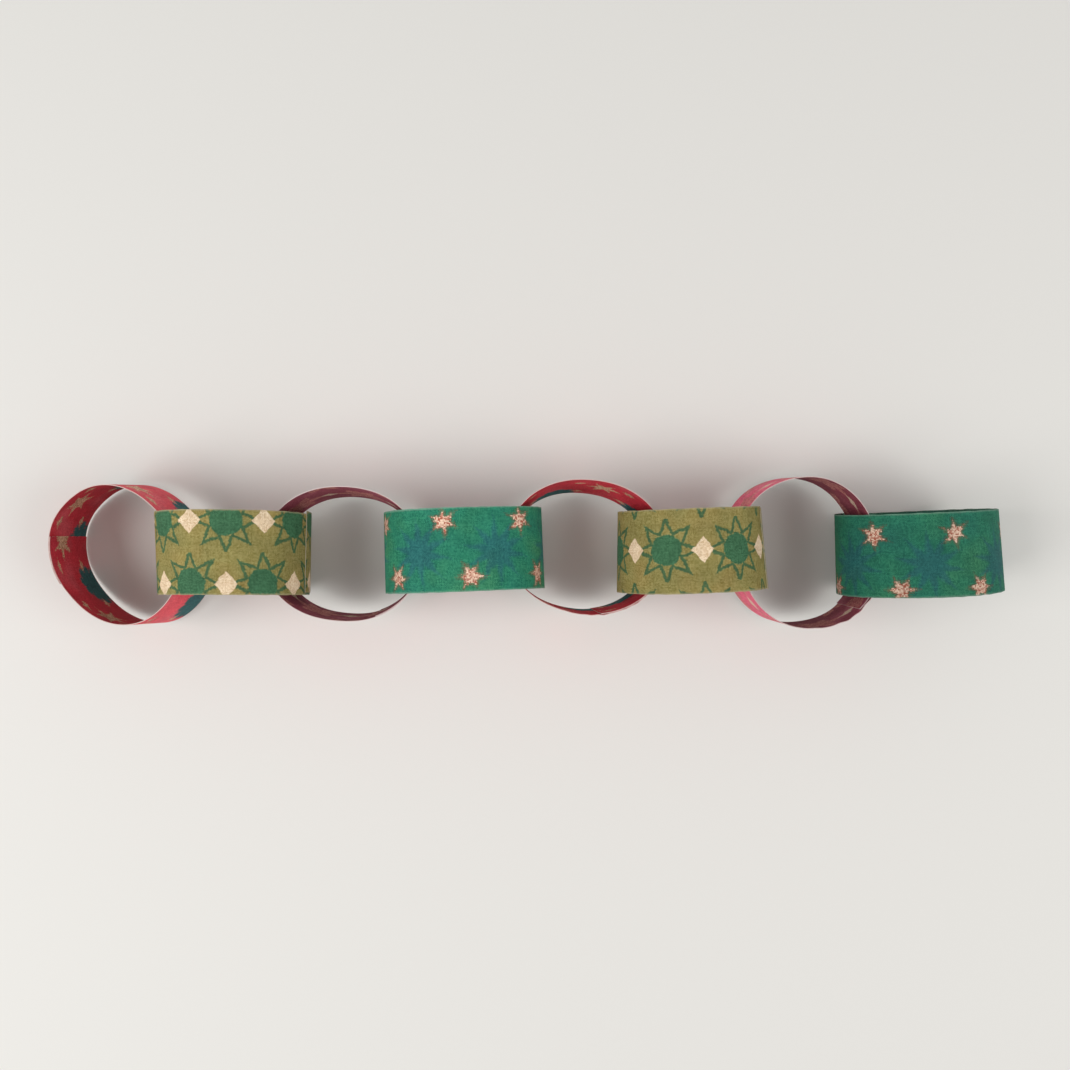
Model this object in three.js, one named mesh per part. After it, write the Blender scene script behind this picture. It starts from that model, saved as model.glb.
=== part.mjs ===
// A paper chain garland: eight strips of printed craft paper, each curled into a loop through
// the one before it, its end lapped over its start and glued. Laid along a table, the links
// stand and lie by turns: a standing link rests on its cut edge with its mouth upwards, and a
// lying link rests on its round side with its mouths facing front and back.
// Millimetres, +Z up, +X along the chain, the table at Z = 0.

import * as THREE from "three";
import { mergeVertices } from "three/addons/utils/BufferGeometryUtils.js";

// The cut strip that every link is made from
const STRIP_LENGTH = 220;
const STRIP_WIDTH = 36;
const PAPER_THICKNESS = 0.3;

// How a strip is closed into a loop
const GLUE_SQUEEZE = 0.04; // the glued layers sink this far into each other
const LAP_RISE = 24; // length over which the strip climbs on to its own start
const SQUARENESS = 2.15; // exponent of the loop's oval, 2 for an ellipse
const FLAT_SPOT = 9; // width of the flat that a lying link rests on

// How the links rest in each other
const SEAT_GAP = 0.3; // clearance left under an edge where it rests
const STATIONS = 104; // steps along a strip

const PAPERS = {
  coral: { color: 0xd9414e, roughness: 0.85, metalness: 0 },
  olive: { color: 0x9a9148, roughness: 0.88, metalness: 0 },
  magenta: { color: 0xa8345c, roughness: 0.85, metalness: 0 },
  green: { color: 0x1f7a58, roughness: 0.85, metalness: 0 },
};

// Each link, from the left end of the chain.
//   lap        glued length, which sets the size of the loop
//   ratio      width of the oval along the chain over its other width
//   turn       turn of the oval about the link's own axis, in degrees
//   flare      share by which the loop is wider at its far edge than at its near one
//   lean       shift of a standing link's upper edge over its lower one, along and across
//   tip        shift of a lying link's top towards the back
//   seam       where on the loop the strip starts, in degrees
//   yaw        swing of a lying link about the vertical, in degrees
//   aside      shift across the chain
//   slack      how far the link stands short of pulling tight on the one before it
const LINKS = [
  {
    name: "link_1_coral",
    paper: "coral",
    lies: false,
    lap: 23,
    ratio: 0.86,
    turn: 45,
    flare: -0.055,
    lean: [3.4, 0.3],
    seam: 165,
    aside: -1.2,
  },
  {
    name: "link_2_olive",
    paper: "olive",
    lies: true,
    lap: 17,
    ratio: 1.07,
    turn: 0,
    flare: -0.028,
    tip: 3,
    seam: -22,
    yaw: 0.2,
    aside: -2.4,
    slack: 0.9,
  },
  {
    name: "link_3_magenta",
    paper: "magenta",
    lies: false,
    lap: 25,
    ratio: 1.17,
    turn: -2,
    flare: 0.066,
    lean: [2.1, 1.3],
    seam: -62,
    aside: -1.1,
    slack: 3.2,
  },
  {
    name: "link_4_green",
    paper: "green",
    lies: true,
    lap: 16,
    ratio: 1.24,
    turn: 0,
    flare: 0.01,
    tip: 1.8,
    seam: 196,
    yaw: 1.9,
    aside: -0.2,
    slack: 1.9,
  },
  {
    name: "link_5_coral",
    paper: "coral",
    lies: false,
    lap: 25,
    ratio: 1.18,
    turn: -5.4,
    flare: 0.069,
    lean: [3, 2.3],
    seam: -78,
    aside: 1.5,
    slack: 1.1,
  },
  {
    name: "link_6_olive",
    paper: "olive",
    lies: true,
    lap: 21,
    ratio: 1.07,
    turn: 0,
    flare: 0.053,
    tip: -0.4,
    seam: -18,
    yaw: 1.9,
    aside: 1.3,
    slack: 4.1,
  },
  {
    name: "link_7_magenta",
    paper: "magenta",
    lies: false,
    lap: 16,
    ratio: 0.92,
    turn: 13,
    flare: -0.025,
    lean: [0.4, -0.5],
    seam: -48,
    aside: 0.2,
    slack: 3,
  },
  {
    name: "link_8_green",
    paper: "green",
    lies: true,
    lap: 17,
    ratio: 1.25,
    turn: 0,
    flare: 0.024,
    tip: -1.8,
    seam: 200,
    yaw: 2.5,
    aside: 0.9,
    slack: 0.6,
  },
];

const HALF_WIDTH = STRIP_WIDTH / 2;
const HALF_PAPER = PAPER_THICKNESS / 2;
const radians = THREE.MathUtils.degToRad;
const smooth = THREE.MathUtils.smoothstep;

// The middle line of a loop, seen along its axis: an oval that a lying link flattens at its foot.
class Oval extends THREE.Curve {
  constructor(link) {
    super();
    this.turn = radians(link.turn);
    this.start = radians(link.seam) - this.turn;
    this.halfTall = 1;
    this.halfWide = link.ratio;
    this.foot = Infinity;
    const scale = (STRIP_LENGTH - link.lap) / this.getLength();
    this.halfTall *= scale;
    this.halfWide *= scale;
    if (link.lies) this.foot = this.heightAt(FLAT_SPOT / 2);
    this.updateArcLengths();
  }

  // Half the height of the oval at a distance from its centre line.
  heightAt(across) {
    const share = Math.min(1, Math.abs(across) / this.halfWide);
    return this.halfTall * (1 - share ** SQUARENESS) ** (1 / SQUARENESS);
  }

  // Half the clear width inside the loop at this height above and below its centre, whichever
  // side is tighter.
  clearWidthAt(height) {
    const reach = this.getSpacedPoints(4 * STATIONS)
      .filter((point) => Math.abs(point.y) <= height)
      .map((point) => Math.abs(point.x));
    return Math.min(...reach) - HALF_PAPER;
  }

  getPoint(t, target = new THREE.Vector3()) {
    const angle = this.start + 2 * Math.PI * t;
    const [c, s] = [Math.cos(angle), Math.sin(angle)];
    const wide = this.halfWide * Math.sign(c) * Math.abs(c) ** (2 / SQUARENESS);
    const tall = this.halfTall * Math.sign(s) * Math.abs(s) ** (2 / SQUARENESS);
    return target
      .set(wide, Math.max(tall, -this.foot), 0)
      .applyAxisAngle(new THREE.Vector3(0, 0, 1), this.turn);
  }
}

// Carries a point of the section (x along the chain, y across the section, z along the axis)
// out to its place on a loop whose far edge is wider and leans over the near one.
function skewed(link, oval, point) {
  const along = point.z / STRIP_WIDTH;
  const grow = 1 + link.flare * along;
  if (!link.lies) {
    const [leanAlong, leanAcross] = link.lean.map((lean) => lean * along);
    return new THREE.Vector3(point.x * grow + leanAlong, point.y * grow + leanAcross, point.z);
  }
  // a lying link flares up from its foot, which stays flat
  const base = -oval.foot - HALF_PAPER;
  const height = (point.y - base) * grow;
  const tip = (link.tip * height) / (2 * oval.foot);
  return new THREE.Vector3(point.x * grow, base + height, point.z - tip);
}

// The loop seen along its axis. The last stretch of the strip climbs over the strip's own start
// and then lies on it, so the strip's two ends show as a step inside and a step outside.
function sectionOf(link, oval) {
  const turn = STRIP_LENGTH - link.lap;
  const onTop = PAPER_THICKNESS - GLUE_SQUEEZE;
  const climb = (run) => onTop * smooth(run, turn - LAP_RISE, turn);
  const pointAt = (run, offset) => {
    const at = (run / turn) % 1;
    const tangent = oval.getTangentAt(at);
    const out = new THREE.Vector2(tangent.y, -tangent.x);
    return out.multiplyScalar(offset).add(oval.getPointAt(at));
  };
  const runsFrom = (start) =>
    Array.from({ length: STATIONS + 1 }, (_, i) => start + (turn * i) / STATIONS);
  const outside = runsFrom(link.lap).map((run) => pointAt(run, climb(run) + HALF_PAPER));
  const inside = runsFrom(0).map((run) => pointAt(run, climb(run) - HALF_PAPER));
  const shape = new THREE.Shape(outside);
  shape.holes.push(new THREE.Path(inside));
  return shape;
}

function loopGeometry(link, oval, section) {
  const extruded = new THREE.ExtrudeGeometry(section, { depth: STRIP_WIDTH, bevelEnabled: false });
  extruded.deleteAttribute("normal");
  extruded.deleteAttribute("uv");
  const geometry = mergeVertices(extruded.translate(0, 0, -HALF_WIDTH), 1e-4);
  const positions = geometry.attributes.position;
  for (let i = 0; i < positions.count; i++) {
    const point = skewed(link, oval, new THREE.Vector3().fromBufferAttribute(positions, i));
    positions.setXYZ(i, point.x, point.y, point.z);
  }
  geometry.computeVertexNormals();
  return geometry;
}

function makeLink(link) {
  const oval = new Oval(link);
  const section = sectionOf(link, oval);
  const material = new THREE.MeshStandardMaterial(PAPERS[link.paper]);
  const mesh = new THREE.Mesh(loopGeometry(link, oval, section), material);
  mesh.name = link.name;
  if (link.lies) {
    mesh.rotation.set(Math.PI / 2, 0, radians(link.yaw), "ZYX");
    mesh.position.z = oval.foot + HALF_PAPER;
  }
  mesh.position.y = link.aside;
  const nearEdge = [section, ...section.holes]
    .flatMap((outline) => outline.getSpacedPoints(8 * STATIONS))
    .map(({ x, y }) => skewed(link, oval, new THREE.Vector3(x, y, -HALF_WIDTH)));
  return { ...link, oval, mesh, nearEdge };
}

// Height of the inside floor of a lying link under a point of the table plane, or null where
// the point isn't inside it.
function insideFloor(lying, x, y) {
  const local = new THREE.Vector3(x - lying.mesh.position.x, y - lying.mesh.position.y, 0);
  local.applyAxisAngle(new THREE.Vector3(0, 0, 1), -radians(lying.yaw));
  if (Math.abs(local.y) > HALF_WIDTH + SEAT_GAP) return null;
  if (Math.abs(local.x) > lying.oval.halfWide) return null;
  const grow = 1 - (lying.flare * local.y) / STRIP_WIDTH; // its far edge faces the front
  const across = Math.abs(local.x) / grow + HALF_PAPER;
  const depth = Math.min(lying.oval.heightAt(across), lying.oval.foot);
  return (lying.oval.foot - depth + PAPER_THICKNESS) * grow;
}

// How far a standing link has to be lifted for its lower edge to clear one rest.
function liftOver(standing, floorAt) {
  standing.mesh.updateMatrixWorld();
  const lifts = standing.nearEdge.map((local) => {
    const point = local.clone().applyMatrix4(standing.mesh.matrixWorld);
    const floor = floorAt(point.x, point.y);
    return floor === null ? -Infinity : floor - point.z;
  });
  return Math.max(...lifts);
}

// Lets a standing link down until it rests at both ends: in the lying links that it threads,
// or on the table where the chain ends. It tips towards the lower rest.
function seat(standing, before, after) {
  const table = (x) => (x < standing.mesh.position.x ? 0 : null);
  const left = before ? (x, y) => insideFloor(before, x, y) : table;
  const right = (x, y) => insideFloor(after, x, y);
  let [low, high] = [-0.3, 0.3];
  for (let pass = 0; pass < 30; pass++) {
    standing.mesh.rotation.y = (low + high) / 2;
    if (liftOver(standing, left) > liftOver(standing, right)) low = standing.mesh.rotation.y;
    else high = standing.mesh.rotation.y;
  }
  standing.mesh.position.z += liftOver(standing, right) + SEAT_GAP;
}

// Distance between two links' centres when the chain is pulled tight: each wall then meets the
// inside of the other loop at the strip's edges.
function tautPitch(first, second) {
  return first.oval.clearWidthAt(HALF_WIDTH) + second.oval.clearWidthAt(HALF_WIDTH);
}

const links = LINKS.map(makeLink);
links.forEach((link, i) => {
  if (i === 0) return;
  const previous = links[i - 1];
  link.mesh.position.x = previous.mesh.position.x + tautPitch(previous, link) - link.slack;
});
links.forEach((link, i) => {
  if (!link.lies) seat(link, links[i - 1], links[i + 1]);
});

// The origin is the middle of the footprint, on the table.
const garland = new THREE.Group();
garland.name = "paper_chain_garland";
garland.add(...links.map((link) => link.mesh));
const box = new THREE.Box3().setFromObject(garland, true);
const middle = box.getCenter(new THREE.Vector3());
garland.position.set(-middle.x, -middle.y, -box.min.z);

export default garland;
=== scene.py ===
# %% [markdown]
# # A paper chain garland
# Eight loops of printed craft paper lie along a table, and the camera looks straight down on them.
# The shapes and places of the loops are fixed by a measured model, which is loaded first: it has one
# plain closed solid for each loop. Painting those solids would be the short way, but they are made of
# flat facets and have no place for a print to be drawn on. So this file makes each of them again as a
# fine sheet of paper that follows its solid, and then gives the paper its woven emboss, its print and
# its cut edges.

# %% The measured model
import math

import bpy
import numpy as np
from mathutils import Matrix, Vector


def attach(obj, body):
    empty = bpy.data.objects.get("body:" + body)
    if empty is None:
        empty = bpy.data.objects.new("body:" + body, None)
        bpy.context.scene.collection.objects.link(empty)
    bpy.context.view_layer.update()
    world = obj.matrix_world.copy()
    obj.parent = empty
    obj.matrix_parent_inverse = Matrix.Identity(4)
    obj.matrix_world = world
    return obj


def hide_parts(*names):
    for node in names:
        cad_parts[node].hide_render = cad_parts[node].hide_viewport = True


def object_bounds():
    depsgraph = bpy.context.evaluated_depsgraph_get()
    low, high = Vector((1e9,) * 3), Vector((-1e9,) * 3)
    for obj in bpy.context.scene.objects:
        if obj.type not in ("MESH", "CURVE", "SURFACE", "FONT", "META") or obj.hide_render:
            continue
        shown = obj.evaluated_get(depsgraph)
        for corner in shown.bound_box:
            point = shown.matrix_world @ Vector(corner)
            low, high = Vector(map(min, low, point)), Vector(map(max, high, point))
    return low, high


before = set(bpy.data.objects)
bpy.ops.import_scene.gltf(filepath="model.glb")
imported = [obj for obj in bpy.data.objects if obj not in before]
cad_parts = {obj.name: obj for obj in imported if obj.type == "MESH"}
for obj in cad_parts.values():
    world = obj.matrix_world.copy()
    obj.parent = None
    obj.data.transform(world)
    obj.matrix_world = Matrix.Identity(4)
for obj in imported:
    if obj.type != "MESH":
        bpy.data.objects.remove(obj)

measured_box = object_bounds()
print("loops:", sorted(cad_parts))

# %% [markdown]
# ## The strips
# Every loop is one strip, 220 mm long, 36 mm wide and 0.3 mm thick. Its end laps over its start, and
# the lap's length sets how large the loop is. What differs from loop to loop is listed here, as one
# line or two for each loop, so that the code that makes a loop is written only once:
#
# - paper, and lies: which paper it is, and whether it lies on its round side or stands on an edge
# - lap and seam: the glued length in mm, and where on the loop the strip starts, as an angle in
#   degrees in the loop's own plane
# - drift and curl: how far the lapped end misses its start sideways, and how far the end's upper edge
#   curls off, both in mm
# - print_from and row: how far the print is shifted along the strip and across it, in mm
# - lightness and core: a factor of painted light and shade that makes the whole loop lighter or
#   darker, and the colour of the paper's core, also set paler or darker loop by loop as a painted
#   highlight or shade on its rim
#
# A strip cut and glued by hand is never quite true, so each loop's number is also the seed of its
# small errors.

# %% Sizes and the list of loops
MM = 0.001
LENGTH, WIDTH, THICKNESS = 220.0, 36.0, 0.3
LINKS = [
    dict(node="link_1_coral", paper="coral", lies=False, lap=23, seam=165, drift=0.25,
         curl=0.0, print_from=6.0, row=0.0, painted_light=1.0, core_and_highlight="#dcb4b4"),
    dict(node="link_2_olive", paper="olive", lies=True, lap=17, seam=-22, drift=-1.0,
         curl=0.0, print_from=4.0, row=13.5, painted_light=1.0, core_and_highlight="#b8ab88"),
    dict(node="link_3_magenta", paper="magenta", lies=False, lap=25, seam=-62, drift=0.7,
         curl=0.0, print_from=0.0, row=4.0, painted_light=1.08, core_and_highlight="#dcc3ca"),
    dict(node="link_4_green", paper="green", lies=True, lap=16, seam=196, drift=0.5,
         curl=0.0, print_from=9.0, row=0.0, painted_light=1.0, core_and_highlight="#8db09c"),
    dict(node="link_5_coral", paper="coral", lies=False, lap=25, seam=-78, drift=-0.9,
         curl=0.35, print_from=15.0, row=3.0, painted_light=1.25, core_and_highlight="#cf979b"),
    dict(node="link_6_olive", paper="olive", lies=True, lap=21, seam=-18, drift=0.6,
         curl=0.0, print_from=19.0, row=0.5, painted_light=0.96, core_and_highlight="#b8ab88"),
    dict(node="link_7_magenta", paper="magenta", lies=False, lap=16, seam=-48, drift=0.9,
         curl=0.5, print_from=11.0, row=-6.0, painted_light=0.97, core_and_highlight="#bb919b"),
    dict(node="link_8_green", paper="green", lies=True, lap=17, seam=200, drift=-0.6,
         curl=0.0, print_from=25.0, row=-3.0, painted_light=0.69, core_and_highlight="#8db09c"),
]
print(len(LINKS), "strips of", LENGTH, "by", WIDTH, "by", THICKNESS, "mm")

# %% [markdown]
# ## From a solid back to its sheet
# A strip bent into a loop is a ruled surface: straight lines join one cut edge to the other. So the
# middle of the paper is known once the two edges are. Each solid's corners lie along those edges, on
# the inside and on the outside of the paper. A smooth closed curve is fitted through both: its three
# coordinates are sums of a few sines and cosines of the angle round the loop, found by least squares.
# Fitting evens out the facets, which joining the corners by straight lines would keep. Eleven waves
# pass every corner within 0.35 mm, half a thickness of which is there because the corners lie on the
# paper's two faces and the curve runs between them. They are still too few to follow the facets.

# %% Smooth edge curves from a solid's corners
HARMONICS = 11
CHECK_POINTS = 400


def waves(angle):
    """The columns 1, cos a, sin a, cos 2a, sin 2a ... for each angle a."""
    steps = np.arange(1, HARMONICS + 1)
    turns = np.multiply.outer(angle, steps)
    return np.hstack([np.ones((len(angle), 1)), np.cos(turns), np.sin(turns)])


def edge_curve(corners, lies):
    """The weights of the waves that give a cut edge's place (mm) at an angle round the loop.
    The angle is measured in the loop's own plane, about the middle of the edge."""
    plane = corners[:, [0, 2]] if lies else corners[:, [0, 1]]
    centre = (plane.min(0) + plane.max(0)) / 2
    angle = np.arctan2(plane[:, 1] - centre[1], plane[:, 0] - centre[0])
    weights, *_ = np.linalg.lstsq(waves(angle), corners, rcond=None)
    return weights


def edges_of(link):
    """The weights of a loop's near and far cut edges. A lying loop's near edge faces the back."""
    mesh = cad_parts[link["node"]].data
    corners = np.empty(len(mesh.vertices) * 3)
    mesh.vertices.foreach_get("co", corners)
    corners = np.unique((corners.reshape(-1, 3) / MM).round(4), axis=0)
    depth = -corners[:, 1] if link["lies"] else corners[:, 2]
    middle = (depth.min() + depth.max()) / 2
    sides = corners[depth < middle], corners[depth > middle]
    return [edge_curve(side, link["lies"]) for side in sides]


for link in LINKS:
    link["edges"] = edges_of(link)
    near, far = (waves(np.linspace(0, 2 * np.pi, CHECK_POINTS)) @ weights for weights in link["edges"])
    girth = np.linalg.norm(np.diff((near + far) / 2, axis=0), axis=1).sum()
    width = np.linalg.norm(far - near, axis=1).mean()
    print(f"{link['node']}: {girth:.1f} mm round, {width:.1f} mm wide")

# %% [markdown]
# ## A sheet on a grid
# The sheet is a function of two numbers: the run along the strip in millimetres, and the place across
# it as a share of its width, from -0.5 at the near edge to 0.5 at the far one. A flat strip bent by a
# Curve modifier could give the same loop, but not its changing slope. Here the points of a whole grid
# are worked out at once with arrays, which is quick and lets the paper's small errors be added up.
# Where the strip reaches its own start it climbs by one thickness and then lies on it, so the lap is
# real paper on paper. Slow waves of a tenth of a millimetre keep the light from sliding over it as
# over metal, and the scissor cuts bend in the same way. Near the strip's end its corners lift, and on
# some loops its upper edge curls off the lap in small ruffles.

# %% Points of the sheet
COUNT_ALONG, COUNT_ACROSS = 300, 16
LOOP_POINTS = 1441  # places from which the length round a loop is summed
SLOPE_STEP = 0.2  # mm from a point to the two that its slope along the strip is taken from
RISE = 24.0  # mm of strip in which it climbs on to its own start
GLUE = 0.02  # mm between the two layers of a lap
SUNK = 0.3  # the share of a thickness by which the whole sheet is sunk

# The waves of a cut by hand: how far it strays (mm), its wavelength (mm) and its step of the seed.
LONG_CUT = (0.22, 70, 0), (0.1, 7, 7)
END_CUT = (0.7, 90, 90), (0.25, 9, 91)
END_REACH = 8.0  # mm from each end over which the grid fades into the crooked end cut
END_SPARE = 1.0  # mm that the cut may pass the strip's length by

# How far the corners of the end lift and how long they are, where the curl starts and is whole
# before the end, and how far the paper buckles (all in mm).
CORNER_LIFT, CORNER_REACH = 0.06, 9.0
CURL_START, CURL_WHOLE = 44.0, 30.0
BUCKLE = 0.08


def rise(x, start, end):
    """Climbs smoothly from 0 at start to 1 at end."""
    share = np.clip((x - start) / (end - start), 0, 1)
    return share * share * (3 - 2 * share)


def wobble(x, seed, wavelength):
    """A slow wave between -1 and 1: the mean of three sines with lengths and starts of their own."""
    rng = np.random.default_rng(seed)
    lengths = wavelength * rng.uniform(0.6, 1.7, 3)
    starts = rng.uniform(0, 2 * np.pi, 3)
    return sum(np.sin(2 * np.pi * x / length + start) for length, start in zip(lengths, starts)) / 3


def scissor_cut(x, seed, waves_of_cut):
    """How far (mm) a cut edge strays from true: the sum of a slow wave and one of small kinks."""
    return sum(reach * wobble(x, seed + step, length) for reach, length, step in waves_of_cut)


def place_on_loop(link, run, across):
    """The fitted surface at a run along the strip and a place across it.
    Equal steps of run are equal lengths round the loop, from the angle where the strip starts."""
    turn = LENGTH - link["lap"]
    angle = math.radians(link["seam"]) + np.linspace(0, 2 * np.pi, LOOP_POINTS)
    near, far = (waves(angle) @ weights for weights in link["edges"])
    middle = (near + far) / 2
    length = np.concatenate([[0], np.linalg.norm(np.diff(middle, axis=0), axis=1).cumsum()])
    at = np.interp((run % turn) / turn * length[-1], length, angle)
    near, far = (waves(at.ravel()) @ weights for weights in link["edges"])
    blend = across.ravel()[:, None] + 0.5
    return (near * (1 - blend) + far * blend).reshape(*run.shape, 3)


def standing_off(link, run, across, seed):
    """How far (mm) the middle of the paper stands out from the fitted surface: the climb on to its own
    start, the lift of the end's corners, the ruffled curl of its upper edge, and slow buckles. All of
    it is sunk by a share of a thickness, as the surface fitted to a lap lies between its two layers."""
    turn = LENGTH - link["lap"]
    climb = (THICKNESS + GLUE) * rise(run, turn - RISE, turn)
    corner = CORNER_LIFT * rise(run, LENGTH - CORNER_REACH, LENGTH) * rise(np.abs(across), 0.2, 0.5)
    curl = link["curl"] * rise(run, LENGTH - CURL_START, LENGTH - CURL_WHOLE) * rise(across, 0.15, 0.5)
    ruffle = curl * (0.65 + 0.7 * wobble(run, seed + 29, 8)).clip(0)
    buckle = BUCKLE * wobble(run, seed + 9, 46) * wobble(across * WIDTH, seed + 19, 60)
    return climb + corner + ruffle + buckle - THICKNESS * SUNK


def sheet_points(link, seed):
    """Grid of points on the paper's outer and inner faces, and each point's place on the flat strip.
    The way out is square to two slopes, along and across, each taken from points on both sides."""
    turn = LENGTH - link["lap"]
    run, across = np.meshgrid(
        np.linspace(0, LENGTH, COUNT_ALONG + 1), np.linspace(-0.5, 0.5, COUNT_ACROSS + 1), indexing="ij"
    )
    near_cut, far_cut = (scissor_cut(run, one_seed, LONG_CUT) for one_seed in (seed, seed + 50))
    cut = near_cut * (0.5 - across) + far_cut * (0.5 + across)
    shift = link["drift"] * (run / turn - 0.5) + cut
    slant = scissor_cut(across * WIDTH, seed, END_CUT)
    end_share = rise(run, LENGTH - END_REACH, LENGTH) - rise(run, END_REACH, 0)
    run_cut = np.clip(run + slant * end_share, 0, LENGTH + END_SPARE)
    middle = place_on_loop(link, run_cut, across + shift / WIDTH)
    ahead = place_on_loop(link, run_cut + SLOPE_STEP, across)
    behind = place_on_loop(link, run_cut - SLOPE_STEP, across)
    one_side, other_side = (place_on_loop(link, run_cut, across + step) for step in (-0.1, 0.1))
    out = np.cross(ahead - behind, other_side - one_side)
    out /= np.linalg.norm(out, axis=2, keepdims=True)
    lift = standing_off(link, run, across, seed)[..., None] * out
    half = THICKNESS / 2 * out
    flat = np.stack([run_cut, across * WIDTH + cut, np.zeros_like(run)], axis=2)
    return middle + lift + half, middle + lift - half, flat


print("each sheet has", COUNT_ALONG, "faces along and", COUNT_ACROSS, "across, on both sides")


# %% [markdown]
# ## Closing the sheet
# The outer grid, the inner grid and four narrow strips between them make one closed surface. A Solidify
# modifier would thicken a single grid too, but here the rim is numbered, so it is easy to give it a
# material. The three sorts of face get one each: the front of the print, its back, and the cut edge,
# where the paper's pale core shows. Edges between them are marked sharp, so that shading the sheet
# smooth doesn't round its rim. Each corner also keeps its place on the flat strip, in millimetres, in
# an attribute named strip_mm: that is what the prints are drawn on.

# %% One mesh for each loop
FRONT, BACK, CUT = 0, 1, 2


def grid_faces(index):
    """Four-cornered faces over a grid of vertex numbers, wound so that they face the same way."""
    return np.stack([index[:-1, :-1], index[1:, :-1], index[1:, 1:], index[:-1, 1:]], axis=-1).reshape(-1, 4)


def rim_of(index):
    """The vertex numbers round the border of a grid, in order, closed on themselves."""
    return np.concatenate([index[:-1, 0], index[-1, :-1], index[:0:-1, -1], index[0, ::-1]])


def sheet_mesh(link, seed):
    """A closed mesh of one strip, with each vertex's place on the flat strip kept as an attribute."""
    outer, inner, flat = sheet_points(link, seed)
    count = outer.shape[0] * outer.shape[1]
    top = np.arange(count).reshape(outer.shape[:2])
    low = top + count
    rim_top, rim_low = rim_of(top), rim_of(low)
    rim = np.stack([rim_low[:-1], rim_low[1:], rim_top[1:], rim_top[:-1]], axis=-1)
    faces = np.vstack([grid_faces(top), grid_faces(low)[:, ::-1], rim])
    finish = np.repeat([FRONT, BACK, CUT], [(len(faces) - len(rim)) // 2] * 2 + [len(rim)])

    mesh = bpy.data.meshes.new(link["node"])
    points = np.concatenate([outer.reshape(-1, 3), inner.reshape(-1, 3)]) * MM
    mesh.from_pydata(points, [], faces.tolist())
    mesh.polygons.foreach_set("material_index", finish.astype(np.int32))
    mesh.shade_smooth()
    on_rim = np.zeros(2 * count, bool)
    on_rim[np.concatenate([rim_top, rim_low])] = True
    ends = np.array([edge.vertices for edge in mesh.edges])
    same_face = (ends[:, 0] < count) == (ends[:, 1] < count)
    sharp = mesh.attributes.new("sharp_edge", "BOOLEAN", "EDGE")
    sharp.data.foreach_set("value", on_rim[ends].all(axis=1) & same_face)
    place = mesh.attributes.new("strip_mm", "FLOAT_VECTOR", "POINT")
    place.data.foreach_set("vector", np.concatenate([flat.reshape(-1, 3)] * 2).ravel().astype(np.float32))
    return mesh


# %% [markdown]
# ## Drawing with numbers
# A print could be a picture laid over the strip. Here it is drawn by arithmetic in the material, from
# each point's place on the flat strip, so it stays sharp at any size and is easy to change. That takes
# many nodes. One function adds a node and fills its inputs, and a small class lets the sums be written
# as sums: adding two fields adds a Math node.

# %% A helper for nodes and a class for sums of them
def linear(colour):
    """A colour as #rrggbb, as a screen shows it, turned into the linear light that Blender mixes."""
    parts = [int(colour[i : i + 2], 16) / 255 for i in (1, 3, 5)]
    return *(c / 12.92 if c <= 0.04045 else ((c + 0.055) / 1.055) ** 2.4 for c in parts), 1.0


def add(tree, kind, inputs=(), output=0, **settings):
    """Adds a shader node, sets its properties, and fills its inputs: a socket or a field is linked,
    anything else is set as a value. inputs is a list in order, or a dict by name or number."""
    node = tree.nodes.new("ShaderNode" + kind)
    for name, value in settings.items():
        setattr(node, name, value)
    pairs = inputs.items() if isinstance(inputs, dict) else enumerate(inputs)
    for key, value in pairs:
        value = getattr(value, "socket", value)
        if isinstance(value, bpy.types.NodeSocket):
            tree.links.new(value, node.inputs[key])
        else:
            node.inputs[key].default_value = value
    return node.outputs[output] if node.outputs else None


class Field:
    """A number that varies over the paper. Arithmetic on fields adds Math nodes."""

    def __init__(self, tree, socket):
        self.tree, self.socket = tree, socket

    def math(self, operation, *others, clamp=False):
        """The field that a Math node makes of this one and the others."""
        socket = add(self.tree, "Math", [self, *others], operation=operation, use_clamp=clamp)
        return Field(self.tree, socket)

    def __add__(self, other):
        return self.math("ADD", other)

    def __sub__(self, other):
        return self.math("SUBTRACT", other)

    def __mul__(self, other):
        return self.math("MULTIPLY", other)

    def __truediv__(self, other):
        return self.math("DIVIDE", other)

    def __abs__(self):
        return self.math("ABSOLUTE")

    def least(self, other):
        """The lesser of two fields: of two distances, it joins their shapes."""
        return self.math("MINIMUM", other)

    def most(self, other):
        """The greater of two fields: of two distances, it keeps what their shapes share."""
        return self.math("MAXIMUM", other)


print("mid grey #808080 as linear light:", round(linear("#808080")[0], 3))

# %% [markdown]
# ## Motifs
# Each motif is a distance in millimetres to its outline, negative inside, so that it can be inked
# solid, drawn as a line, or have its edge roughened by adding noise. A star needs only one of its
# points: folding the angle back and forth lays all the others on it. A repeat is the same trick along
# the strip: the remainder after whole periods puts every copy at the middle of a cell of its own.

# %% Repeats, stars, discs, leaves and lozenges
ONE_ROW = 100.0  # a row this high (mm) is the only one on the strip


def repeat(along, across, period, height=ONE_ROW, start=0.0, row=0.0, stagger=0.0):
    """The place inside the cell of a repeat, from its middle: cells are period by height, one has
    its middle at start along and row across, and each next row moves on by stagger."""
    across = across - row
    rows = (across / height).math("ROUND")
    x = along - rows * stagger - start
    return x - (x / period).math("ROUND") * period, across - rows * height


def fold(x, y, count, turn=0.0):
    """The place along and beside the nearest of count rays from the middle: the angle is folded."""
    angle = (y.math("ARCTAN2", x) + turn).math("PINGPONG", math.pi / count)
    radius = (x * x + y * y).math("SQRT")
    return radius * angle.math("COSINE"), radius * angle.math("SINE")


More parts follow.
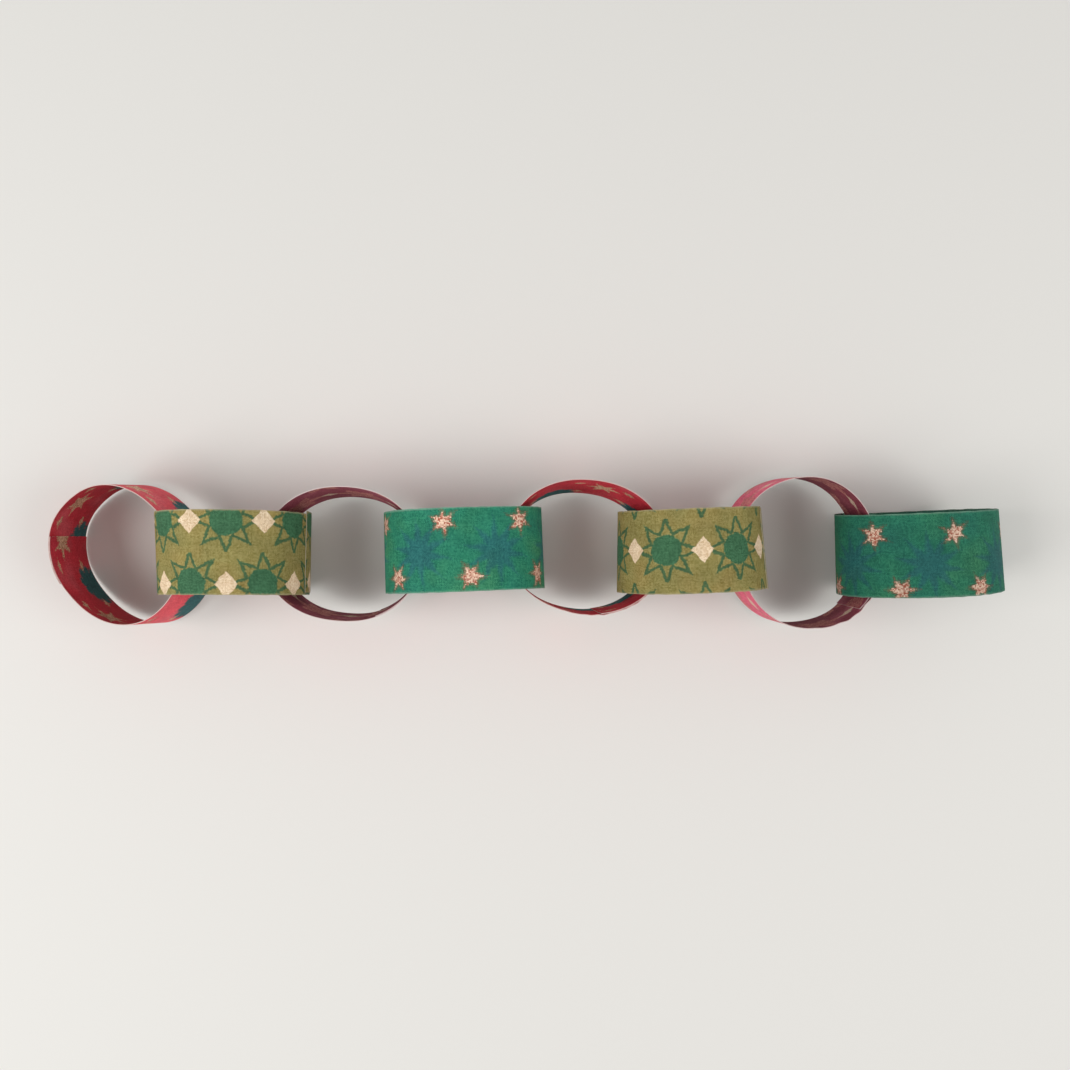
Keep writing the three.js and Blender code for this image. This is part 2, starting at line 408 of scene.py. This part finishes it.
def star(x, y, points, tip, notch, turn=0.0):
    """Distance to a star with that many points, tip and notch being its outer and inner radii. It is
    measured square to the straight side that joins a tip to the next notch."""
    u, v = fold(x, y, points, turn)
    half = math.pi / points
    rise_u, rise_v = notch * math.sin(half), tip - notch * math.cos(half)
    side = math.hypot(rise_u, rise_v)
    return (u - tip) * (rise_u / side) + v * (rise_v / side)


def disc(x, y, radius):
    """Distance to a round spot."""
    return (x * x + y * y).math("SQRT") - radius


def leaves(x, y, count, tip, half_width):
    """Distance to leaves that meet in the middle: each is as wide as the arch of a sine is high."""
    u, v = fold(x, y, count)
    return (v - (part(u / tip) * math.pi).math("SINE") * half_width).most(u - tip)


def lozenge(x, y, half_long, half_wide):
    """Distance to a diamond on its point: the shares of its two half widths add up to 1 on its outline.
    The factor turns that sum into about millimetres."""
    return (abs(x) / half_long + abs(y) / half_wide - 1.0) * (half_wide * 0.8)


def part(field):
    """A field kept from 0 to 1."""
    return field.math("ADD", 0.0, clamp=True)


def inked(distance, blur=0.25):
    """1 where the ink is, 0 where it isn't, with an edge that is blur millimetres wide."""
    return part(distance / -blur + 0.5)


# %% [markdown]
# ## The paper itself
# Cotton craft paper is pressed between woven felts, which leaves a fine plain weave, and its fibres
# take ink unevenly. The weave is two crossed waves, chequered so that one thread goes over as the next
# goes under. It shapes the surface through a bump. A real weave would need millions of faces, and no
# one would see the difference. The high threads take more ink than the low ones, so every colour here
# is a pair: its low and its high tone. The real threads are about 0.35 mm apart, which is finer than
# this picture shows, so they are drawn 0.45 mm apart.
#
# Smooth noise alone looks like sponge, not cloth. So each thread keeps a tone of its own for nine
# threads' length, and each crossing adds one: the place on the strip is snapped to long cells along the
# threads and to small ones at the crossings, and every cell takes a random number. The blocks that
# printed the paper were cut by hand, so the print's lines tremble: their place is moved by up to about
# half a millimetre of slow noise.

# %% Places on the strip, weave and grain
# Thread to thread in mm, and a thread's tone in threads; then the size of the noises' lumps in mm.
THREAD, LONG_CELL = 0.45, 9
FIBRES, CLOUDS, TIDE, TREMBLE = 0.85, 9.0, 17.0, 4.5
FLECK = 1.2  # a metal ink's fleck, in threads


def noise(tree, vector, size, detail=2.0, seed=0.0, output=0):
    """Smooth noise about 0.5 with lumps about size millimetres across; output 1 is three at once.
    The seed moves the place, so that no two noises have the same lumps."""
    moved = add(tree, "VectorMath", [vector, (seed * 37.0, seed * 11.0, seed)], operation="ADD")
    return add(tree, "TexNoise", {"Vector": moved, "Scale": 1.0 / size, "Detail": detail}, output=output)


def split(tree, vector, *offsets):
    """The first coordinates of a vector as fields, with an offset added to each."""
    sockets = [add(tree, "SeparateXYZ", [vector], output=number) for number in range(len(offsets))]
    return [Field(tree, socket) + offset for socket, offset in zip(sockets, offsets)]


def trembling(tree, flat, reach=2.2):
    """The place on the strip, moved about by slow noise, as a hand moves a carving knife."""
    about_half = noise(tree, flat, TREMBLE, seed=7, output=1)
    drift = add(tree, "VectorMath", [about_half, (0.5, 0.5, 0.5)], operation="SUBTRACT")
    return add(tree, "VectorMath", {0: drift, 1: (reach,) * 3, 2: flat}, operation="MULTIPLY_ADD")


def weave(run, across):
    """Height of the woven emboss from 0 to 1: crossed waves, one thread over and the next under."""
    warp, weft = ((field * (math.pi / THREAD)).math("SINE") for field in (run, across))
    return (warp * weft + 1.0) * 0.5


def cells(tree, flat, along, across):
    """A random number from 0 to 1 for each cell of the strip, its sizes given in threads."""
    cell = add(tree, "VectorMath", [flat, (along * THREAD, across * THREAD, 1.0)], operation="SNAP")
    return Field(tree, add(tree, "TexWhiteNoise", {"Vector": cell}, noise_dimensions="2D"))


print("threads across a strip:", round(WIDTH / THREAD))

# %% [markdown]
# ## Four printed papers
# The four papers are a coral, an olive, a magenta and a green one. Each has a plain regular repeat
# in two or three inks: green spots ringed with outlined points on olive, with cream lozenges between
# them; large soft sunbursts and small copper stars on green; teal scalloped flowers and gold stars on
# coral; and copper flowers with cream lozenges on magenta. A print is a list of layers, put on
# in order over the ground: the ink's low and high tone, where it is, and how much of it is metal.
# The first layers are no motifs but patches in which the dye took more or less: they follow the tide,
# a noise with lumps as wide as half a strip. Two fields are added to a motif's distance, to give it a
# printed outline: rough, which comes from the fibres, and teeth, which come from the threads and make
# a comb-like edge along the weave.

# %% The repeats of each paper
def olive_print(s, t, tide, rough, teeth):
    """Golden patches in the ground, green spots ringed with eight outlined points, half a step on in
    each next row, and cream lozenges between them."""
    step, height = 31.0, 27.0
    x, y = repeat(s, t, step, height, stagger=step / 2)
    spot = disc(x, y, 6.7) + rough + teeth * 0.2
    points = abs(star(x, y, 8, 13.4, 7.2)) - 0.65 + rough + teeth * 0.15
    between = repeat(s, t, step, height, start=step / 2, stagger=step / 2)
    patch = lozenge(*between, 5.0, 5.6) + rough + teeth * 0.2
    return [
        (("#93763a", "#bda062"), part((tide - 0.46) * 3.0) * 0.55, 0.0),
        (("#32553a", "#4a6f48"), inked(points, 0.4) * 0.95, 0.0),
        (("#2c5638", "#4a7c58"), inked(spot, 0.5), 0.0),
        (("#cfae84", "#f9e4c6"), inked(patch), 0.0),
    ]


def green_print(s, t, tide, rough, teeth):
    """Bluer and yellower clouds, large soft sunbursts, and small copper stars with a rusty bleed, by
    turns near one cut edge and near the other."""
    step = 34.0
    burst = star(*repeat(s, t, step, row=1.0), 10, 14.0, 6.0, turn=0.2) + rough * 1.2 + teeth * 0.3
    high = star(*repeat(s, t, step, start=12.0, row=11.5), 6, 5.0, 2.6)
    low = star(*repeat(s, t, step, start=23.0, row=-12.0), 6, 5.0, 2.6, turn=0.4)
    stars = high.least(low) + rough + teeth * 0.7
    return [
        (("#125a58", "#2f8076"), part((tide - 0.5) * 3.5) * 0.4, 0.0),
        (("#266f45", "#5ea56e"), part((tide - 0.5) * -3.5) * 0.5, 0.0),
        (("#17525c", "#30707a"), inked(burst, 1.4) * 0.65, 0.0),
        (("#5a3c28", "#9a6a4c"), inked(stars - 0.6, 1.6) * 0.65, 0.0),
        (("#b0604a", "#fadcc2"), inked(stars + 0.1, 0.4), 0.45),
    ]


def coral_print(s, t, tide, rough, teeth):
    """Wine red and worn pink patches in the ground, teal flowers with ten round petals near one cut
    edge, and gold stars between them near the other, with small gold lozenges."""
    step = 44.0
    x, y = repeat(s, t, step, row=-12.0)
    u, v = fold(x, y, 10)
    flower = disc(u - 7.8, v, 3.0).least(disc(x, y, 8.4)) + rough * 1.6 + teeth * 0.8
    gold = star(*repeat(s, t, step, start=step / 2, row=6.0), 6, 7.6, 3.4)
    bits = lozenge(*repeat(s, t, step / 2, 21.0, start=step / 4, row=12.0), 2.9, 1.9)
    return [
        (("#8c2030", "#b83a4a"), part((tide - 0.5) * 3.0) * 0.5, 0.0),
        (("#b0505a", "#dc8a90"), part((tide - 0.47) * -4.0) * 0.4, 0.0),
        (("#1f4a4d", "#356e6f"), inked(flower, 1.6), 0.0),
        (("#a07a5c", "#e3c8a2"), inked(gold.least(bits) + rough + teeth, 0.6) * 0.85, 0.35),
    ]


def magenta_print(s, t, tide, rough, teeth):
    """Pale pink patches in the ground, rose copper flowers with six pointed petals, broken by the
    weave, and cream lozenges between them."""
    step, height = 30.0, 26.0
    wheel = leaves(*repeat(s, t, step, height, stagger=step / 2), 6, 12.0, 2.9)
    patch = lozenge(*repeat(s, t, step, height, start=step / 2, stagger=step / 2), 4.4, 3.0)
    return [
        (("#b0566a", "#ec9aa8"), part((tide - 0.52) * 4.0) * 0.35, 0.0),
        (("#a04a50", "#e6a090"), inked(wheel + rough + teeth * 0.7, 0.6) * 0.65, 0.3),
        (("#cfae98", "#f3dfc4"), inked(patch + rough + teeth * 0.7, 0.5) * 0.9, 0.2),
    ]


PRINTS = {"coral": coral_print, "olive": olive_print, "magenta": magenta_print, "green": green_print}

# The ground of each paper's front and of its back, each as a low and a high tone. The back is the darker
# one: painted shade on the insides of the loops.
GROUNDS = {
    "coral": (("#d64350", "#f2656f"), ("#ac212f", "#ce3846")),
    "olive": (("#786e34", "#a0975e"), ("#73682f", "#948a50")),
    "magenta": (("#d0506a", "#f67a92"), ("#7c3040", "#a65160")),
    "green": (("#0f6650", "#36906e"), ("#0c4f3b", "#2b7456")),
}
print("papers:", ", ".join(PRINTS))

# %% [markdown]
# ## Paper materials
# This is cotton paper, pressed, dyed and printed on both its faces, and pale inside. So each loop has
# a front and a back material, which differ in their ground colour: the face turned in is painted
# darker, as painted shade on the insides of the loops. The layers are mixed over the ground one after
# the other. Metal ink lies in flecks and is smoother and partly metallic, which makes it glint at a
# slant. Along the cut edges the ink is scuffed off a little, and the pale core of the paper shows; the
# core's colour is also set paler or darker loop by loop, as a painted highlight or shade on the rim.
# Clouds about a centimetre wide make the dye uneven. Each loop's whole colour is also scaled by a
# lightness factor of its own, which is painted light and shade. The weave, the grain and the fibres
# are also the bump's height. Paper is dull: hardly any of the light is mirrored, and that little is
# spread wide.

# %% Front, back and cut edge
DULL, SHEEN = 0.78, 0.25
METAL_POLISH = 0.5  # how much less rough the ink is where all of it is metal
CLOUD_DEPTH = 0.5  # from the deepest cloud of dye to the palest, as a share of its lightness
SCUFF = 0.4  # mm from the cut edge to the middle of the scuffed rim
EMBOSS = 0.09  # mm that the bump rises when its height goes up by 1
MIX_A, MIX_B, MIX_COLOUR = 6, 7, 2  # where colours go into a Mix node, and where one comes out


def tones(tree, pair, grain):
    """A colour between its low and its high tone."""
    low, high = (linear(colour) for colour in pair)
    return add(tree, "Mix", {0: grain, MIX_A: low, MIX_B: high}, MIX_COLOUR, data_type="RGBA")


def paper_material(name, link, ground, offset):
    """Printed cotton paper with a woven emboss and scuffed edges. Its grain and the bump's height are
    weighted sums of the same few fields, with given weights."""
    material = bpy.data.materials.new(name)
    material.use_nodes = True
    tree = material.node_tree
    tree.nodes.clear()
    flat = add(tree, "Attribute", attribute_name="strip_mm", output=1)
    run, across = split(tree, flat, 0.0, 0.0)
    s, t = split(tree, trembling(tree, flat), offset, link["row"])
    fibres = Field(tree, noise(tree, flat, FIBRES, detail=3.0))
    clouds = Field(tree, noise(tree, flat, CLOUDS, detail=3.0, seed=1))
    tide = Field(tree, noise(tree, flat, TIDE, detail=1.0, seed=offset))
    threads = weave(run, across)
    thread_tones = cells(tree, flat, LONG_CELL, 1) + cells(tree, flat, 1, LONG_CELL)
    rough, teeth = (fibres - 0.5) * 1.2, thread_tones - 1.0
    crossings = cells(tree, flat, 1, 1)
    grain = part(crossings * 0.7 + thread_tones * 0.25 + threads * 0.3 + fibres * 0.6 - 0.55)
    flecks = part(cells(tree, flat, FLECK, FLECK) * 1.3 + thread_tones * 0.1 - 0.25)

    colour = tones(tree, ground, grain)
    metal_share = None
    for pair, mask, metal in PRINTS[link["paper"]](s, t, tide, rough, teeth):
        ink = tones(tree, pair, flecks if metal else grain)
        colour = add(tree, "Mix", {0: mask, MIX_A: colour, MIX_B: ink}, MIX_COLOUR, data_type="RGBA")
        if metal:
            metal_share = mask * metal if metal_share is None else metal_share.most(mask * metal)
    scuffed = inked(abs(across) * -1.0 + (WIDTH / 2 - SCUFF) + rough, 0.9) * 0.65
    # The scuffed rim shows the core colour, which is partly the paper's core and partly a painted highlight
    # or shade on the rim.
    core_and_highlight = linear(link["core_and_highlight"])
    colour = add(tree, "Mix", {0: scuffed, MIX_A: colour, MIX_B: core_and_highlight}, MIX_COLOUR, data_type="RGBA")
    # The loop's lightness factor scales its whole colour as painted light and shade; the clouds add uneven
    # dye.
    tone = clouds * (CLOUD_DEPTH * link["painted_light"]) + (1 - CLOUD_DEPTH / 2) * link["painted_light"]
    toned = add(tree, "VectorMath", {0: colour, 3: tone}, operation="SCALE")

    shader = {"Base Color": toned, "Specular IOR Level": SHEEN, "Roughness": DULL}
    if metal_share is not None:
        shader["Metallic"] = metal_share
        shader["Roughness"] = metal_share * -METAL_POLISH + DULL
    height = threads * 0.5 + grain * 0.4 + fibres * 0.6
    shader["Normal"] = add(tree, "Bump", {"Strength": 0.9, "Distance": EMBOSS * MM, "Height": height})
    add(tree, "OutputMaterial", [add(tree, "BsdfPrincipled", shader)])
    return material


def edge_material(name, core_and_highlight):
    """The cut edge: the pale core of the paper, stained by the ink on both sides of it. Its colour is set
    per loop, partly as a painted highlight or shade on the rim.
    """
    material = bpy.data.materials.new(name)
    material.use_nodes = True
    tree = material.node_tree
    tree.nodes.clear()
    flat = add(tree, "Attribute", attribute_name="strip_mm", output=1)
    base = tones(tree, (core_and_highlight, "#dbd0c1"), Field(tree, noise(tree, flat, 0.8, 3.0)))
    add(tree, "OutputMaterial", [add(tree, "BsdfPrincipled", {"Base Color": base, "Roughness": 0.9})])
    return material


# %% [markdown]
# ## Eight loops
# Each loop is made from its line in the list: a mesh, its three materials, and an object that stands at
# the origin, because its points are already where they belong. The last two calls say which body the
# loop moves with and which measured solid it replaces. The back's print is shifted 13 mm more than the
# front's, because the paper was printed once on each face.

# %% Making the eight loops
BACK_SHIFT = 13
triangles = 0
for number, link in enumerate(LINKS, start=1):
    mesh = sheet_mesh(link, seed=number)
    # The back's ground is the darker one: painted shade for the inside of the loop.
    front, back = GROUNDS[link["paper"]]
    for side, ground, shift in ("front", front, 0), ("back", back, BACK_SHIFT):
        name = f"cotton_paper_{link['node']}_{side}"
        mesh.materials.append(paper_material(name, link, ground, link["print_from"] + shift))
    mesh.materials.append(edge_material(f"cotton_paper_{link['node']}_cut", link["core_and_highlight"]))
    loop = bpy.data.objects.new(f"{link['node']}_sheet", mesh)
    bpy.context.scene.collection.objects.link(loop)
    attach(loop, "root")
    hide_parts(link["node"])
    triangles += sum(len(face.vertices) - 2 for face in mesh.polygons)
print("triangles in the eight loops:", triangles)
print("nodes in the last front:", len(loop.data.materials[FRONT].node_tree.nodes))

# %% [markdown]
# ## The table
# A large pale plane lies a twentieth of a millimetre under the paper, so that the two never share a
# place. It is staging: it is there for the picture, and isn't a part of the chain.

# %% The table
FLOOR_SIZE = 4.0
FLOOR_GAP = 0.05
bpy.ops.mesh.primitive_plane_add(size=FLOOR_SIZE, location=(0, 0, measured_box[0].z - FLOOR_GAP * MM))
floor = bpy.context.object
floor.name = "floor"
floor_material = bpy.data.materials.new("pale_table")
floor_material.use_nodes = True
floor_shader = floor_material.node_tree.nodes["Principled BSDF"]
floor_shader.inputs["Base Color"].default_value = linear("#e6e4df")
floor_shader.inputs["Roughness"].default_value = 0.9
floor.data.materials.append(floor_material)
print("the table lies at", round(floor.location.z / MM, 2), "mm")

# %% [markdown]
# ## Light
# Two broad lamps at the sides and a plain pale sky light the chain softly, so that the outsides of the
# standing loops are bright and their insides fall into gentle shade. A small lamp would draw hard
# shadows of the loops on the table and over each other. The left lamp is the stronger one, which gives
# the round of the lying loops a light and a dark end.

# %% Lamps and sky
def lamp(name, place, size, power):
    """A square lamp of that size in metres and power in watts, turned to face the chain."""
    data = bpy.data.lights.new(name, "AREA")
    data.shape, data.size, data.energy = "SQUARE", size, power
    thing = bpy.data.objects.new(name, data)
    bpy.context.scene.collection.objects.link(thing)
    thing.location = place
    x, y, z = place
    thing.rotation_euler = (math.atan2(math.hypot(x, y), z), 0, math.atan2(x, -y))
    return thing


left = lamp("lamp_left", (-0.95, -0.25, 0.95), size=0.8, power=9.0)
right = lamp("lamp_right", (0.95, -0.25, 0.95), size=0.8, power=5.5)
print("lamps:", left.data.energy, "W on the left and", right.data.energy, "W on the right")
world = bpy.data.worlds.new("pale_sky")
bpy.context.scene.world = world
world.use_nodes = True
world.node_tree.nodes["Background"].inputs["Color"].default_value = (1, 1, 1, 1)
world.node_tree.nodes["Background"].inputs["Strength"].default_value = 0.5
bpy.context.scene.view_settings.view_transform = "Standard"

# %% [markdown]
# ## Camera
# The camera hangs straight above, 46 cm over the middle of the chain: close enough for the walls of
# the standing loops to be seen on their way down. The lens follows from how large the chain has to be
# in the picture: so many pixels to a millimetre at the height of its middle.

# %% The camera over the chain
IMAGE_PIXELS, SENSOR = 1070, 36.0
DISTANCE, MIDDLE_HEIGHT = 460.0, 28.0
AIM_X, AIM_Y = 3.2, 7.4
PIXELS_PER_MM = 2.2146
camera_data = bpy.data.cameras.new("overhead")
camera_data.sensor_width = SENSOR
camera_data.lens = SENSOR * PIXELS_PER_MM * DISTANCE / IMAGE_PIXELS
camera = bpy.data.objects.new("overhead", camera_data)
camera.location = (AIM_X * MM, AIM_Y * MM, (DISTANCE + MIDDLE_HEIGHT) * MM)
bpy.context.scene.collection.objects.link(camera)
bpy.context.scene.camera = camera
print("lens:", round(camera_data.lens, 2), "mm")
